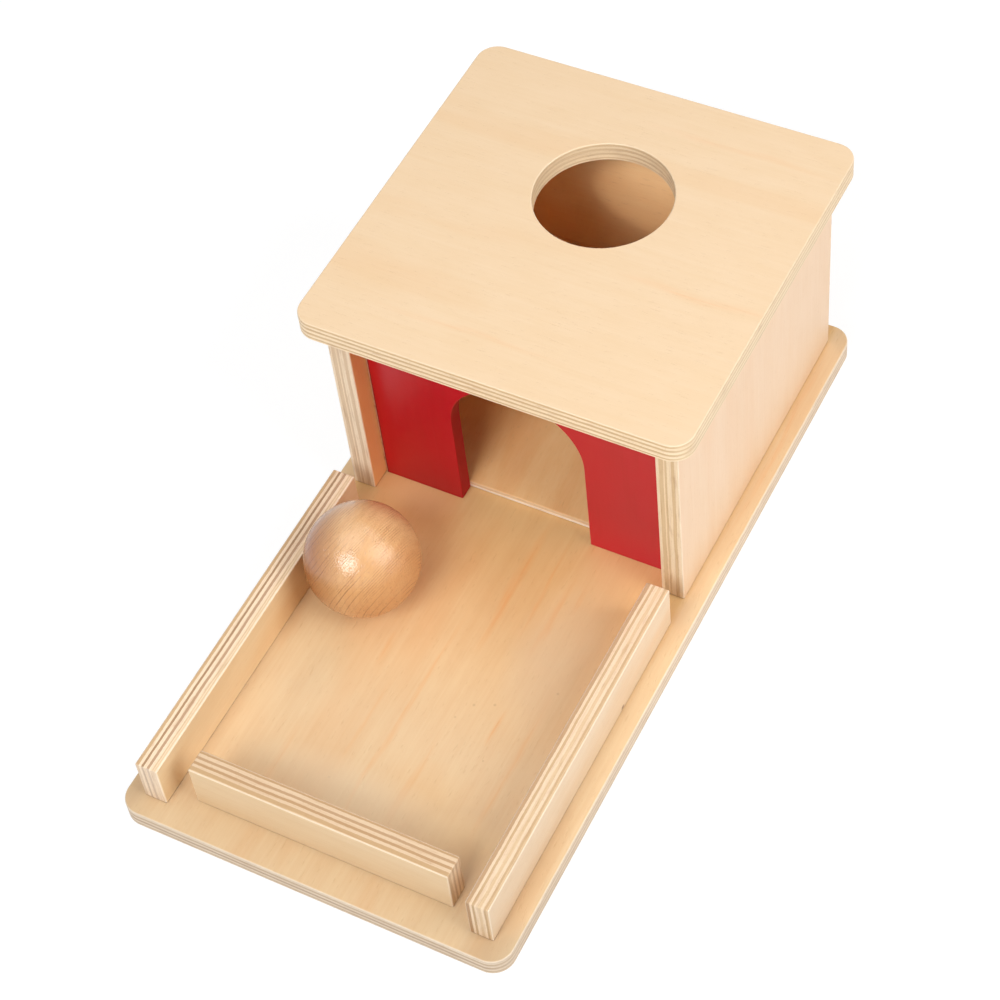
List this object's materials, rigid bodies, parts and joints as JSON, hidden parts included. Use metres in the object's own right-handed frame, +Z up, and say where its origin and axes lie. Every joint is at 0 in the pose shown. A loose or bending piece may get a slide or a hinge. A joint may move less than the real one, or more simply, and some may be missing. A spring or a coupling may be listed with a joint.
{
  "type": "object permanence box",
  "caption": "Wooden posting box with a round drop hole in its lid, a red panel with an arched doorway, and a railed tray that catches the ball.",
  "frame": {"origin": "centre of the underside of the base plate", "axes": "+Z up, +Y from the open tray towards the back of the box, +X to the right for someone facing the doorway from the tray"},
  "size_m": [0.15, 0.298, 0.106],
  "materials": {
    "base_ply": "clear satin lacquer on pale plywood",
    "wall_ply": "clear satin lacquer on pale plywood",
    "lid_ply": "clear satin lacquer on pale plywood",
    "red_paint": "satin red paint over wood",
    "turned_wood": "clear lacquer on turned hardwood"
  },
  "bodies": {
    "box": {"base": "base_ply", "left_wall": "wall_ply", "right_wall": "wall_ply", "back_panel": "wall_ply", "front_panel": "red_paint", "ramp": "base_ply", "lid": "lid_ply", "left_rail": "wall_ply", "right_rail": "wall_ply", "front_rail": "wall_ply"},
    "ball": {"ball": "turned_wood"}
  },
  "joints": [
    {"name": "ball_lift", "type": "slide", "parent": "box", "child": "ball", "axis": [0, 0, 1], "range_m": [0, 0.12]}
  ]
}
